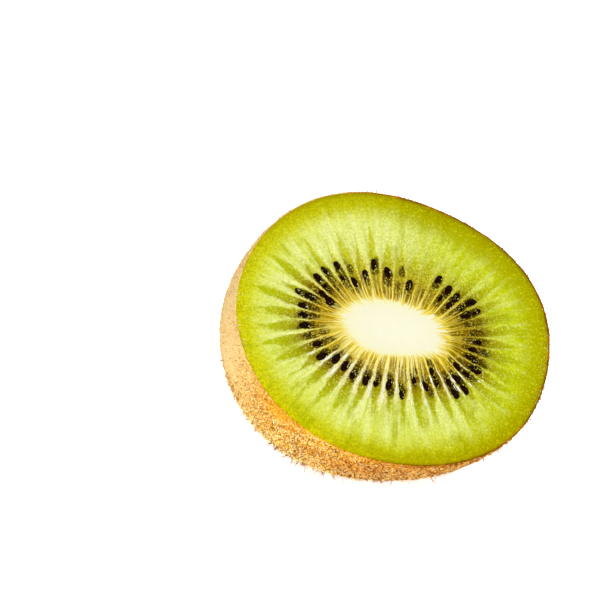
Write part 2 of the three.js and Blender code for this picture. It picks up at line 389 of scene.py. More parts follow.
def seed_places():
    """Turn, reach, size, crookedness and sink of each seed, as in the solid."""
    draws = row_of_draws(SEED_DRAW)
    places = []
    for locule in range(LOCULES):
        middle = (locule + 0.5) / LOCULES
        crowded = any(abs(middle - turn) < CROWDED_WIDTH for turn in CROWDED_TURNS)
        empty = next(draws) < EMPTY_SHARE
        strayed = SEED_REACH + SEED_SPREAD * (next(draws) + next(draws) - 1)
        side = -1 if next(draws) < 0.5 else 1
        for seed in range(2):
            turn = middle + SEED_STRAY * (next(draws) - 0.5) / LOCULES
            reach = strayed + seed * side * SECOND_SEED_STEP
            size = 0.86 + 0.24 * next(draws)
            crook = SEED_CROOK * (next(draws) - 0.5)
            sink = SEED_SINK + 0.3 * (next(draws) - 0.35)
            shown = crowded if seed else not empty
            if shown:
                places.append((turn, np.clip(reach, *SEED_REACH_LIMITS), size, crook, sink))
    return np.array(places)


def headings(turn):
    """The way from the core to the skin at each turn."""
    way = face_outline(turn) - core_edge(turn)
    return np.arctan2(way[..., 1], way[..., 0])


def seed_stances():
    """Middle, heading and size of each seed."""
    turn, reach, size, crook, sink = seed_places().T
    place = cut_place(turn, reach)
    height = cut_height(place, turn, reach) - sink
    return raised(place, height), headings(turn) + crook, size


def ball(ring_count, step_count):
    """Points of a unit ball with its poles on X, and its faces."""
    tilt = math.pi * np.arange(1, ring_count + 1)[:, None] / (ring_count + 1)
    angle = FULL_TURN * np.arange(step_count) / step_count
    y = np.sin(tilt) * np.cos(angle)
    z = np.sin(tilt) * np.sin(angle)
    rings = columns(np.cos(tilt) + 0 * y, y, z).reshape(-1, 3)
    points = np.concatenate((((1, 0, 0),), rings, ((-1, 0, 0),)))
    return points, ring_faces(ring_count, step_count)


def join_copies(faces, point_count, copies):
    """Faces of one mesh from copies of a small one."""
    joined = []
    for first in range(0, copies * point_count, point_count):
        joined += [[first + corner for corner in face] for face in faces]
    return joined


def make_seeds(material):
    """Glossy drops with faintly pitted sides, pointed to the core."""
    unit, faces = ball(15, 22)
    all_points = []
    for index, (middle, heading, size) in enumerate(zip(*seed_stances())):
        points = unit * (1 + 0.05 * soft_noise(unit, 0.45, 40 + index)[:, None])
        taper = 1 + 0.28 * points[:, :1] - 0.12 * points[:, :1] ** 2
        points = points * HALF_SEED * size
        points[:, 1:] *= taper
        points *= 1 + 0.018 * soft_noise(points, 0.16, 90 + index)[:, None]
        points = points @ np.array(Matrix.Rotation(heading, 3, "Z")).T
        all_points.append(points + middle)
    faces = join_copies(faces, len(unit), len(all_points))
    make_piece("kiwi_seeds", np.concatenate(all_points), faces, material)


# The flesh


def sunken_seeds():
    """Turn, reach and strength of seeds that show dimly through the flesh."""
    random = np.random.default_rng(7)
    locule = np.repeat(np.arange(LOCULES), 3)
    turn = (locule + 0.5 + random.uniform(-0.22, 0.22, len(locule))) / LOCULES
    crowd = 0.3 + sum(share * blob((turn - middle) / width) for middle, width, share in SUNKEN)
    kept = random.random(len(locule)) < crowd
    reach = 0.22 + random.uniform(-0.1, 0.13, len(locule))
    strength = random.uniform(0.4, 1, len(locule))
    return columns(turn, reach, strength)[kept]


def dark_halo(place):
    """How dark the flesh is over sunken seeds and round those that show; round those that show it
    is partly the dark flesh by the seeds and partly painted shade.
    """
    shade = np.zeros(place.shape[:-1])
    spots = [(*spot, 1.8, 1) for spot in sunken_seeds()]
    spots += [(turn, reach - 0.03, 0.95, 2.2, 1.4) for turn, reach, *_ in seed_places()]
    for turn, reach, strength, long, wide in spots:
        away = place - cut_place(np.array(turn), np.array(reach))
        along, aside = turned(*away.T, -headings(np.array(turn)))
        distance = np.hypot(along / long, aside / wide)
        shade = np.maximum(shade, strength * (1 - ease(0.2, 1, distance)))
    return shade


def flesh_relief(place, turn, reach):
    """Fine relief of the cut: thin walls, plump juice sacs and a faint grain."""
    flat = raised(place, 0 * reach)
    from_wall = np.abs((turn * LOCULES + 0.5) % 1 - 0.5)
    from_vein = np.abs((3 * turn * LOCULES + 0.5) % 1 - 0.5)
    in_ring = 1 - ease(0.1, 0.3, reach)
    in_locule = ease(0.08, 0.2, from_wall) * ease(0.02, 0.2, reach) * (1 - ease(0.5, 0.72, reach))
    in_flesh = ease(-0.02, 0.05, reach)
    wall = 0.07 * blob(from_wall / 0.09) * (1 - ease(0.45, 0.7, reach))
    vein = 0.03 * blob(from_vein / 0.16) * in_ring
    sacs = 0.10 * soft_noise(flat, 0.55, 3) * in_locule
    grain = (0.022 + 0.02 * in_locule) * soft_noise(flat, 0.3, 5)
    core = 0.03 * soft_noise(flat, 1.6, 9)
    return (wall + vein + sacs + grain) * in_flesh + core


def make_flesh(material):
    """The cut and the flesh behind it, closed just inside the skin."""
    step_count = 14 * LOCULES
    turn = np.arange(step_count) / step_count
    reach = np.concatenate((np.linspace(-1, 0, 19)[1:-1], np.linspace(0, FLESH_EDGE, 116)))
    turns, reaches = np.meshgrid(turn, reach)
    place = cut_place(turns, reaches)
    height = cut_height(place, turns, reaches) + flesh_relief(place, turns, reaches)
    cut = raised(place, height)
    under = np.meshgrid(turn, np.linspace(0.02, 0.97, 9))
    under = inside_place(*under, SKIN_THICKNESS + 0.05)
    rings = np.concatenate((cut, under))
    top = np.array((*CORE_MIDDLE, CORE_RISE))
    bottom = np.array((0, 0, -0.93 * HALF_LENGTH))
    piece, points, faces = make_shell("kiwi_flesh", top, rings, bottom, material)
    reach = np.concatenate((reach, np.linspace(0.99, 1.2, 10)))
    corners = ring_corners(faces, (-1, *reach), step_count)
    corners = columns(LOCULES * corners[:, 0], corners[:, 1], 0 * corners[:, 0])
    add_attribute(piece, "cut_map", corners, "FLOAT_VECTOR", "CORNER")
    turns, reaches = np.meshgrid(turn, reach[:-1])
    angle = FULL_TURN * for_points(turns)
    reaches = for_points(reaches, -1, reach[-1])
    grain = columns(ROUND_RADIUS * np.cos(angle), ROUND_RADIUS * np.sin(angle), reaches)
    add_attribute(piece, "grain_map", grain, "FLOAT_VECTOR")
    add_attribute(piece, "dark", dark_halo(points[:, :2]) * (reaches < 0.9))


# The skin


def skin_relief(points, slope):
    """How far the skin stands out of its form, and the share of stem scar."""
    scar = (slope > 0.5) * (1 - ease(1, 1.5, far(points[..., :2]) / SCAR_RADIUS))
    rough = 0.05 * soft_noise(points, 1.1, 21) + 0.035 * soft_noise(points, 0.5, 22)
    crags = 0.22 * soft_noise(points, 1.3, 23) + 0.12 * soft_noise(points, 0.6, 24)
    return rough + scar * crags, scar


def worn_share(points):
    """How far the hairs have worn off: wholly on one side near the cut, and in patches."""
    patch = blob(far(points - WORN_MIDDLE) / WORN_SIZE)
    patches = ease(0.15, 0.75, soft_noise(points, 17, 55))
    return np.maximum(ease(0.1, 0.85, patch), 0.8 * patches)


def ripe_share(points):
    """How orange the skin is, which it is most in a patch by the cut."""
    return blob(far((points - RIPE_MIDDLE) / RIPE_SIZES))


def brown_and_shade_share(points):
    """How much browner the skin and its hairs are than on the lit side: partly browner skin and
    partly painted shade, most just under the cut, towards the right and in a patch below.
    """
    patch = blob(far((points - BROWN_AND_SHADE_MIDDLE) / BROWN_AND_SHADE_SIZES))
    shade = 0.25 * ease(-2.2, -0.8, points[..., 2]) + 0.65
    return np.maximum(shade * ease(-10, 3, points[..., 0]), patch)


def outward(points):
    """Unit normals of a grid of points whose rows run down and columns run round."""
    round_step = np.roll(points, -1, axis=1) - np.roll(points, 1, axis=1)
    down_step = np.gradient(points, axis=0)
    normal = np.cross(down_step, round_step)
    return normal / np.maximum(far(normal), 1e-9)[..., None]


def skin_slopes(count):
    """Slopes from the cut to near the stem end, closer together at the scar."""
    share = np.linspace(0, 1, count)
    return (0.998 - 0.998 * (1 - share) ** 1.35) * (share + 0.12) ** 0.25 / 1.12**0.25


def make_skin(material):
    """A thin closed shell: up the inside, over the cut edge and down the outside."""
    step_count = 8 * LOCULES
    turn = np.arange(step_count) / step_count
    turns, slopes = np.meshgrid(turn, skin_slopes(132))
    outer = skin_place(turns, slopes)
    relief, scar = skin_relief(outer, slopes)
    outer = outer + outward(outer) * relief[..., None]
    outer[0, :, 2] += 0.1 + 0.05 * soft_noise(outer[0] * (1, 1, 0), 0.8, 31)
    inner = inside_place(*np.meshgrid(turn, np.linspace(0.97, 0, 18)), SKIN_THICKNESS)
    inner[-1, :, 2] = outer[0, :, 2] - 0.02
    rings = np.concatenate((inner, outer))
    inner_end = np.array((0, 0, -0.935 * HALF_LENGTH))
    outer_end = skin_place(np.array((0,)), np.array((1,)))[0]
    piece, points, _ = make_shell("kiwi_skin", inner_end, rings, outer_end, material)
    scars = np.concatenate((np.zeros(inner.shape[:2]), scar))
    add_attribute(piece, "scar", for_points(scars, 0, 1))
    near_cut = 1 - ease(0.6, 2.2, -points[:, 2])
    all_turns = for_points(np.tile(turn, len(rings)))
    right = ease(0.3, 0.7, 0.5 + 0.5 * np.cos(FULL_TURN * (all_turns - 0.04)))
    add_attribute(piece, "stained", 0.9 * near_cut * right)
    add_attribute(piece, "worn", worn_share(points))
    add_attribute(piece, "ripe", 0.9 * ripe_share(points))
    # The brown share is partly browner skin and partly painted shade.
    add_attribute(piece, "brown", brown_and_shade_share(points))


# The hairs


def hair_roots(count, random):
    """Evenly strewn turns and slopes on the skin, with their points and normals."""
    tries = 6 * count
    turn = random.random(tries)
    share = random.uniform(0, 0.995, tries)
    slope = share**ROOT_POWER
    step = 0.002
    here = skin_place(turn, slope)
    round_way = skin_place(turn + step, slope) - here
    down_way = skin_place(turn, (share + step) ** ROOT_POWER) - here
    normal = np.cross(down_way, round_way)
    area = far(normal)
    kept = np.flatnonzero(random.uniform(0, np.percentile(area, 99.5), tries) < area)[:count]
    here[:, 2] += 0.15 * blob((here[:, 2] + RIM_BEVEL) / 0.5)
    unit = normal[kept] / area[kept, None]
    down = down_way[kept] / far(down_way[kept])[:, None]
    return turn[kept], slope[kept], here[kept], unit, down


def hair_ways(root, normal, down, length, rise, random):
    """Unit ways of the hairs: mixed all round, drawn a little to the stem end."""
    aside = np.cross(normal, down)
    angle = random.uniform(0, FULL_TURN, len(root)) + 0.8 * soft_noise(root, 3, 61)
    flat = down * (0.35 + np.cos(angle))[:, None] + aside * np.sin(angle)[:, None]
    way = flat + normal * random.uniform(*rise, len(root))[:, None]
    way /= far(way)[:, None]
    over_cut = root[:, 2] + length * way[:, 2] > 0
    way[over_cut, 2] *= -1
    return way


def make_hairs(name, start, count, lengths, rise, thickness, tones, worn_off, sparse, material):
    """A coat of short bent hairs: three-sided spikes, closed at the root."""
    random = np.random.default_rng(start)
    turn, slope, root, normal, down = hair_roots(count, random)
    count = len(root)
    bald = np.where(slope > 0.5, ease(0.7, 1.15, far(root[:, :2]) / SCAR_RADIUS), 1)
    worn = worn_share(root)
    # Paler hairs and fewer dark ones on the side the lamps light most: partly the worn side's own
    # paler hairs, partly painted light.
    lit_side = ease(0.1, 0.6, blob(far(root - WORN_MIDDLE) / LIT_SIDE_SIZE))
    length = random.uniform(*lengths, count) * np.maximum(bald, 0.25)
    length *= 1 - 0.6 * worn
    length *= 0.8 + 0.2 * soft_noise(root, 7, start)
    way = hair_ways(root, normal, down, length, rise, random)
    bend = random.normal(size=(count, 3)) * 0.3 - 0.15 * normal
    middle = root + way * (0.6 * length)[:, None]
    tip = middle + (way + bend) * (0.4 * length)[:, None]
    side = np.cross(way, normal + 0.01)
    side /= far(side)[:, None]
    other = np.cross(way, side)
    radius = 0.5 * thickness * random.uniform(0.7, 1.25, count)
    parts = []
    for base, share in ((root - 0.08 * normal, 1), (middle, 0.9)):
        for corner in range(3):
            angle = FULL_TURN * corner / 3
            ring = side * math.cos(angle) + other * math.sin(angle)
            parts.append(base + ring * (radius * share)[:, None])
    parts.append(tip)
    points = np.stack(parts, axis=1)
    clear = lay(points)[..., 2].min(axis=1) > 0.00002
    lost = np.maximum(worn_off * worn, sparse * (1 - lit_side))
    clear &= random.random(count) > lost
    points = points[clear]
    faces = join_copies(HAIR_FACES, HAIR_POINTS, len(points))
    piece = make_piece(name, points, faces, material)
    tone = random.uniform(*tones, count)
    dark_share = DARK_HAIRS * (1.4 - 0.4 * lit_side)
    tone = np.where(random.random(count) < dark_share, 0.15 * tone, tone)
    tone = tone * (0.6 + 0.6 * lit_side)
    ripe = 0.85 * ripe_share(root)
    shares = {"tone": tone, "ripe": ripe, "worn": worn, "brown": brown_and_shade_share(root)}
    for share_name, values in shares.items():
        add_attribute(piece, share_name, np.repeat(values[clear], HAIR_POINTS))
    along = np.array((0, 0, 0, 0.6, 0.6, 0.6, 1))
    # Worn hairs keep a middle value along them, so they get little painted root shade and dark tip.
    along = along + (0.7 - along) * 0.8 * worn[clear, None]
    add_attribute(piece, "along", along)


# The grains of juice


def grain_places(random):
    """Turn, reach, length, width and paleness of the grains in the flesh; their paleness is partly
    the juice's colour and partly painted glints.
    """
    turn = random.random(GRAIN_COUNT)
    inner = random.random(GRAIN_COUNT) < 0.88
    low = np.where(inner, 0.06, 0.4)
    high = np.where(inner, 0.66, 0.97)
    reach = random.uniform(low, high)
    from_wall = np.abs((turn * LOCULES + 0.5) % 1 - 0.5)
    kept = (from_wall > 0.16) | (reach > 0.72)
    width = 0.05 + 0.07 * random.random(GRAIN_COUNT) ** 2.5
    width = width * np.where(inner, 1, 0.72)
    length = width * random.uniform(1, 1.9, GRAIN_COUNT)
    pale = random.random(GRAIN_COUNT) ** 2 * np.where(inner, 0.85, 0.5)
    pale *= np.where((turn < 0.55) & (reach < 0.35), 0.35, 1)
    return columns(turn, reach, length, width, pale)[kept]


def wall_glint_places(random):
    """The same of nearly white slivers on the lower walls, painted reflections off the wet walls.
    """
    turn = np.round(random.uniform(*WALL_GLINT_TURNS, WALL_GLINT_COUNT) * LOCULES) / LOCULES
    turn += random.normal(0, 0.07, WALL_GLINT_COUNT) / LOCULES
    reach = random.uniform(0.14, 0.42, WALL_GLINT_COUNT)
    length = random.uniform(0.3, 1.1, WALL_GLINT_COUNT)
    width = random.uniform(0.04, 0.09, WALL_GLINT_COUNT)
    return columns(turn, reach, length, width, np.full(WALL_GLINT_COUNT, 1.3))


def edge_places(random):
    """The same of yellow grains along the skin, most of them on the right; the paler ones on the
    left are painted glints.
    """
    turn = random.normal(0, 0.035, EDGE_COUNT) + np.resize(EDGE_TURNS, EDGE_COUNT)
    reach = 0.98 - 0.09 * random.random(EDGE_COUNT) ** 1.5
    width = random.uniform(0.04, 0.09, EDGE_COUNT)
    length = width * random.uniform(1, 3.5, EDGE_COUNT)
    pale = random.uniform(0, 0.35, EDGE_COUNT) + 0.6 * (turn > 0.3)
    return columns(turn, reach, width, length, pale)


def glint_and_crumb_places(random):
    """Point, heading, length, width and paleness of the painted highlights on the seeds, at fixed
    sides of them, and of crumbs of flesh on some seeds.
    """
    middle, heading, size = seed_stances()
    count = len(size)
    spots = []
    crumbs = [(3.1, 0.2 + 0.07 * number) for number in range(CRUMBS)]
    # The first two spots on a seed are nearly white painted highlights; the rest are crumbs of
    # flesh.
    for way, away in [(-0.25, 0.62), (2.1, 0.5)] + crumbs:
        is_crumb = len(spots) >= 2
        angle = way + random.normal(0, 9 if is_crumb else 0.35, count) - heading
        x = away * np.cos(angle)
        y = away * np.sin(angle)
        place = columns(x, y, np.sqrt(1 - x**2 - y**2)) * HALF_SEED * size[:, None]
        place = columns(*turned(place[:, 0], place[:, 1], heading), place[:, 2]) + middle
        length = random.uniform(0.08, 0.24, count) * away / 0.62
        width = random.uniform(0.035, 0.075, count)
        pale = np.full(count, 1.1)
        if is_crumb:
            width *= random.uniform(0.5, 1.3, count)
            length = 1.6 * width
            pale = random.uniform(-0.1, 0.45, count)
        spots.append(columns(*place.T, heading, length, width, pale))
    spots[0] = spots[0][random.random(count) < 0.7]
    spots[1] = spots[1][random.random(count) < 0.25]
    rough = random.random(count) < CRUMBED_SEEDS
    return np.concatenate(spots[:2] + [spot[rough] for spot in spots[2:]])


def grain_spots(random):
    """The same of the grains and slivers in the flesh."""
    places = (grain_places(random), wall_glint_places(random), edge_places(random))
    turn, reach, length, width, pale = np.concatenate(places).T
    place = cut_place(turn, reach)
    height = cut_height(place, turn, reach) + flesh_relief(place, turn, reach)
    heading = headings(turn) + random.normal(size=len(turn)) * np.where(pale > 1, 0.1, 0.5)
    return columns(*place.T, height, heading, length, width, pale)


def make_juice_and_glints(material):
    """Small wet grains in the locules, on the walls and seeds and near the skin: pale juice that is
    partly painted glints, painted reflections on the lower walls, painted highlights on the seeds
    and crumbs of flesh.
    """
    random = np.random.default_rng(17)
    spots = np.concatenate((grain_spots(random), glint_and_crumb_places(random)))
    heading, length, width, pale = spots[:, 3:].T
    unit, faces = ball(3, 6)
    along = unit[:, 0] * length[:, None]
    aside = unit[:, 1] * width[:, None]
    up = unit[:, 2] * width[:, None] * 0.8
    offsets = columns(*turned(along, aside, heading[:, None]), up)
    points = spots[:, None, :3] + offsets
    faces = join_copies(faces, len(unit), len(spots))
    piece = make_piece("kiwi_juice", points, faces, material)
    # Paleness is above 1 for the painted highlights and reflections.
    add_attribute(piece, "pale", np.repeat(pale, len(unit)))


# Materials


def painter(light):
    """A function from a screen colour to the surface colour that shows so in a light."""

    def channel(value):
        share = value / 255
        shown = share / 12.92 if share < 0.04045 else ((share + 0.055) / 1.055) ** 2.4
        return shown / light

    def paint(red, green, blue):
        return (channel(red), channel(green), channel(blue), 1)

    return paint


wet = painter(LIGHT_LEVEL)
furry = painter(SKIN_LIGHT)
fur = painter(FUR_LIGHT)


def grey(share):
    return (share, share, share, 1)


class Shader:
    """A material and short calls that add nodes to it."""

    def __init__(self, name, **constants):
        self.material = bpy.data.materials.new(name)
        self.material.use_nodes = True
        self.tree = self.material.node_tree
        self.surface = self.tree.nodes["Principled BSDF"]
        self.finish(**constants)

    def feed(self, socket, value):
        if isinstance(value, bpy.types.NodeSocket):
            self.tree.links.new(value, socket)
        else:
            socket.default_value = value

    def node(self, kind, inputs=(), **settings):
        node = self.tree.nodes.new("ShaderNode" + kind)
        for name, value in settings.items():
            setattr(node, name, value)
        for key, value in dict(inputs).items():
            self.feed(node.inputs[key], value)
        return node

    def attribute(self, name, output="Fac"):
        return self.node("Attribute", attribute_name=name).outputs[output]

    def place(self):
        return self.node("TexCoord").outputs["Object"]

    def math(self, operation, *values):
        return self.node("Math", dict(enumerate(values)), operation=operation).outputs[0]

    def times(self, *shares):
        """The product of shares, each a value or what smooth() takes to make one."""
        shares = [self.smooth(*share) if isinstance(share, tuple) else share for share in shares]
        product = shares[0]
        for share in shares[1:]:
            product = self.math("MULTIPLY", product, share)
        return product

    def plus(self, value, other, share=1):
        return self.math("MULTIPLY_ADD", other, share, value)

    def fray(self, value, noise, amount):
        """A value moved by a noise, which has its middle at a half."""
        return self.plus(value, self.math("SUBTRACT", noise, 0.5), amount)

    def smooth(self, value, low, high, start=0, end=1):
        inputs = {0: value, 1: low, 2: high, 3: start, 4: end}
        return self.node("MapRange", inputs, interpolation_type="SMOOTHSTEP").outputs[0]

    def noise(self, vector, scale, detail=2, roughness=0.5):
        inputs = {"Vector": vector, "Scale": scale, "Detail": detail, "Roughness": roughness}
        return self.node("TexNoise", inputs).outputs[0]

    def cells(self, vector, scale):
        return self.node("TexVoronoi", {"Vector": vector, "Scale": scale}).outputs["Distance"]

    def ramp(self, factor, *stops, paint=wet):
        """A colour ramp from positions and what paint makes of the rest of each stop."""
        node = self.node("ValToRGB", {0: factor})
        points = node.color_ramp.elements
        while len(points) < len(stops):
            points.new(1)
        for point, (position, *shade) in zip(points, stops):
            point.position = position
            point.color = paint(*shade)
        return node.outputs[0]

    def mix(self, share, first, second, blend="MIX"):
        inputs = {0: self.times(share), 6: first, 7: second}
        return self.node("Mix", inputs, data_type="RGBA", blend_type=blend).outputs[2]

    def bump(self, height, strength, distance):
        inputs = {"Height": height, "Strength": strength, "Distance": distance}
        return self.node("Bump", inputs).outputs[0]

    def finish(self, **links):
        for socket, value in links.items():
            self.feed(self.surface.inputs[socket.replace("_", " ")], value)
        return self.material


class FleshShader(Shader):
    """Wet kiwi flesh: cream core and walls, olive locules, pale outer flesh, green rim."""

    def __init__(self):
        super().__init__(
            "kiwi flesh",
            Specular_IOR_Level=0,
            Subsurface_Weight=0.08,
            Subsurface_Scale=0.0007,
            Subsurface_Radius=(1, 0.9, 0.3),
        )
        cut = self.node("SeparateXYZ", {0: self.attribute("cut_map", "Vector")}).outputs
        self.rays = self.attribute("grain_map", "Vector")
        self.dark = self.attribute("dark")
        self.true_reach = cut[1]
        self.across = self.fray(cut[0], self.fibres(0.75, 4), 0.44)
        self.reach = self.fray(cut[1], self.fibres(2.6, 3), 0.16)
        self.fibre = self.fibres(4.6, 2)
        self.streak = self.fibres(2.2, 2.4)
        place = self.place()
        self.grit = self.noise(place, GRIT_SCALE, 2, 0.65)
        self.patch = self.noise(place, PATCH_SCALE, 2, 0.6)
        self.cloud = self.noise(place, CLOUD_SCALE, 4, 0.6)
        self.sac = self.cells(place, SAC_SCALE)
        self.axis = self.toward(PALE_TURN)
        self.left = self.smooth(self.axis, -0.75, 0.15)
        side = self.toward(0)
        self.ends = self.times(side, side)
        white = self.toward(WHITE_TURN)
        self.white_walls = self.times((white, 0.75, 1), (self.reach, 0.55, 0.35))
        low = self.smooth(self.toward(BRIGHT_TURN), 0.75, 1, 0, -0.06)
        high = self.smooth(self.toward(MILKY_TURN), 0.6, 1, 0, 0.04)
        ring_reach = self.fray(self.reach, self.ends, -0.12)
        self.ring_reach = self.plus(self.plus(ring_reach, low), high)
        self.locule_share = self.find_locules()

    def toward(self, turn):
        """From -1 to 1 at a turn."""
        angle = turn * FULL_TURN
        way = (math.cos(angle) / ROUND_RADIUS, math.sin(angle) / ROUND_RADIUS, 0)
        return self.node("VectorMath", {0: self.rays, 1: way}, operation="DOT_PRODUCT").outputs[1]

    def layers(self, flesh, *layers):
        """The flesh with screen colours laid on it in turn, each by its shares' product."""
        for shade, *shares in layers:
            flesh = self.mix(self.times(*shares), flesh, wet(*shade))
        return flesh

    def fibres(self, around, along):
        """Noise drawn out along the rays, with its counts for each locule and reach."""
        inputs = {0: self.rays, 1: (around, around, along)}
        stretched = self.node("VectorMath", inputs, operation="MULTIPLY").outputs[0]
        return self.noise(stretched, 1, 3, 0.6)

    def random_for(self, number):
        whole = self.math("FLOOR", number)
        return self.node("TexWhiteNoise", {"W": whole}, noise_dimensions="1D").outputs[0]

    def find_locules(self):
        """1 in a locule and 0 in the walls, which widen and meet outside the locules."""
        self.own = self.random_for(self.across)
        own_wall = self.random_for(self.plus(self.across, 100.5))
        from_wall = self.times(self.math("PINGPONG", self.across, 0.5), 2)
        late = self.fray(self.ring_reach, self.own, 0.24)
        thin = self.plus(0.05, own_wall, 0.13)
        width = self.fray(self.plus(thin, self.smooth(late, 0.34, 0.86)), self.grit, 0.3)
        width = self.plus(width, self.white_walls, 0.12)
        rough = self.smooth(self.reach, 0.15, 0.6, 0.1, 0.8)
        width = self.fray(self.fray(width, self.patch, rough), self.streak, rough)
        soft = self.plus(width, self.smooth(self.reach, 0.1, 0.6, 0.1, 0.5))
        return self.smooth(from_wall, width, soft)

    def outer_flesh(self):
        """Walls and outer flesh: pale and milky on the left, clear and greener right."""
        reach = self.reach
        pale_side = self.ramp(
            reach,
            *((0, 240, 227, 100), (0.12, 234, 218, 72), (0.3, 226, 220, 116)),
            *((0.5, 226, 232, 128), (0.68, 219, 227, 106), (0.78, 217, 223, 84)),
            *((0.87, 212, 214, 34), (1, 206, 200, 0)),
        )
        clear_side = self.ramp(
            reach,
            *((0, 240, 227, 100), (0.12, 224, 204, 58), (0.3, 202, 196, 66)),
            *((0.5, 198, 208, 36), (0.66, 199, 211, 18), (0.8, 188, 198, 0)),
            *((0.9, 173, 174, 0), (1, 166, 152, 0)),
        )
        inside = self.smooth(reach, 0.3, 0.5)
        middle = self.times(inside, (reach, 0.68, 0.88, 1, 0))
        milk = self.times((self.streak, 0.46, 0.66), (self.left, 0, 0.7, 0.45, 1), 0.7)
        clear = self.plus(self.times(self.streak, 0.6), self.cloud, 0.6)
        fading = self.times(middle, (reach, 0.52, 0.74, 0.6, 0.25))
        silk = self.times((self.fibre, 0.52, 0.64), (self.left, 0, 0.7, 0.5, 1))
        deep = (self.plus(reach, self.axis, -0.07), 0.7, 0.98)
        green = self.times((self.toward(GREEN_TURN), 0.72, 1), (reach, 0.66, 0.86))
        return self.layers(
            self.mix(self.left, clear_side, pale_side),
            ((245, 237, 172), self.white_walls, (reach, 0.02, 0.1), 0.75),
            ((234, 240, 158), middle, milk, (self.toward(BARE_TURN), 0.85, 1, 1, 0.6)),
            ((168, 177, 0), inside, (clear, 0.6, 0.44), (self.left, 0, 1, 1, 0.78)),
            ((236, 242, 168), silk, fading),
            ((186, 200, 24), (self.fibre, 0.48, 0.36), fading),
            ((170, 166, 0), deep, (self.axis, 1, 0.3), 0.8),
            ((148, 142, 0), (self.toward(DEEP_TURN), 0.7, 1), (reach, 0.84, 0.94), 0.4),
            ((238, 241, 170), (self.toward(MILKY_TURN), 0.75, 1), middle, 0.22),
            ((152, 150, 0), green, (reach, 0.86, 0.96, 0.45, 0.7)),
        )

    def inner_flesh(self):
        """The soft flesh in the locules, dark longest at the two ends of the oval."""
        flesh = self.ramp(
            self.ring_reach,
            *((0, 214, 186, 24), (0.07, 200, 166, 12), (0.13, 166, 130, 8)),
            *((0.19, 104, 72, 6), (0.26, 100, 74, 2), (0.32, 142, 130, 2)),
            *((0.4, 160, 158, 0), (0.56, 174, 184, 2)),
        )
        reach = self.reach
        lift = self.times((self.ends, 0.7, 0.2), (reach, 0.05, 0.15), (reach, 0.38, 0.22))
        # Dark where seeds show through the flesh, and round the seeds that show, partly painted
        # shade.
        seeds = self.fray(self.fray(self.dark, self.grit, 0.55), self.patch, 0.55)
        # Light specks on the juice sacs, partly their own pale colour and partly painted glints.
        sac_specks_and_glints = self.times((self.sac, 0.34, 0.12), (self.grit, 0.42, 0.55))
        return self.layers(
            flesh,
            ((168, 166, 6), (self.own, 0.45, 0.9), (reach, 0.1, 0.3), 0.4),
            ((176, 152, 8), lift, 0.5),
            ((202, 202, 44), (self.toward(FAINT_TURN), 0.5, 0.9), (reach, 0.16, 0.3), 0.7),
            ((30, 12, 0), (seeds, 0.25, 0.6, 0, 0.92)),
            ((224, 208, 60), sac_specks_and_glints, (reach, 0, 0.3, 0.2, 0.85)),
        )

    def golden_lines(self, flesh):
        """Fine light and dark lines from the core out to the seeds."""
        golden = self.smooth(self.reach, 0.06, 0.3, 1, 0)
        low = (self.toward(WHITE_TURN), 0.6, 1)
        pale = self.mix(low, wet(243, 226, 116), wet(248, 239, 170))
        flesh = self.mix(self.times((self.fibre, 0.53, 0.64), golden), flesh, pale)
        dark = self.times((self.fibre, 0.52, 0.41), self.locule_share, 0.9)
        return self.layers(flesh, ((108, 78, 0), dark, golden))

    def granular(self, flesh):
        """Fine light and dark grain all over the flesh; the light grain is partly the pale juice
        sacs and partly painted glints.
        """
        reach = self.reach
        deep = self.ramp(
            reach,
            *((0.1, 150, 120, 4), (0.2, 84, 58, 0), (0.32, 100, 84, 0)),
            *((0.46, 160, 166, 2), (0.85, 166, 168, 0), (1, 140, 120, 0)),
        )
        light = self.ramp(
            reach,
            *((0.1, 250, 232, 94), (0.24, 222, 198, 56), (0.5, 236, 240, 140)),
            *((0.8, 226, 230, 76), (0.9, 216, 214, 10)),
        )
        silky = self.plus(1, self.times((reach, 0.4, 0.55), (reach, 0.85, 0.7)), -0.15)
        skinward = ((reach, 0.74, 0.86, 1, 1.45), (self.left, 0.2, 1, 1.15, 0.8))
        fine = self.times((self.true_reach, 0, 0.15), silky, *skinward)
        flesh = self.mix(self.times((self.grit, 0.6, 0.34), fine, 0.5), flesh, deep)
        fine = self.times(fine, (self.left, 0, 1, 0.4, 0.6))
        return self.mix(self.times((self.grit, 0.52, 0.72), fine), flesh, light)

    def core(self, flesh):
        """The firm white core with its frayed edge."""
        frayed = self.fray(self.true_reach, self.fibre, 1.1)
        for turn, shift in CORE_SHIFTS:
            frayed = self.plus(frayed, self.smooth(self.toward(turn), 0.6, 1, 0, shift))
        core = self.ramp(
            self.plus(self.true_reach, 1),
            *((0.3, 239, 236, 210), (0.72, 237, 234, 202)),
            *((0.88, 238, 233, 186), (0.98, 236, 224, 138)),
        )
        return self.mix((frayed, -0.1, -0.02, 1, 0), flesh, core)

    def round_core(self, flesh):
        """The soft flesh round the core is brighter low on the left and duller right."""
        reach = self.reach
        band = self.times((reach, 0.05, 0.11), (reach, 0.3, 0.2), (self.dark, 0.5, 0.1))
        for turn, share, shade in (
            (BRIGHT_TURN, 0.35, (226, 196, 40)),
            (WHITE_TURN, 0.3, (234, 214, 104)),
            (MILKY_TURN, 0.4, (208, 190, 58)),
            (GREEN_TURN, 0.25, (200, 184, 36)),
        ):
            flesh = self.layers(flesh, (shade, band, (self.toward(turn), 0.75, 1), share))
        near = self.times((reach, -0.05, 0.05), (reach, 0.42, 0.28))
        dull = self.times(near, (self.toward(DULL_TURN), 0.7, 1), 0.7)
        flesh = self.mix(dull, flesh, DULLING, "MULTIPLY")
        warm = self.times(near, (self.toward(WARM_TURN), 0.75, 1), (reach, 0.32, 0.22), 0.6)
        return self.mix(warm, flesh, WARMING, "MULTIPLY")

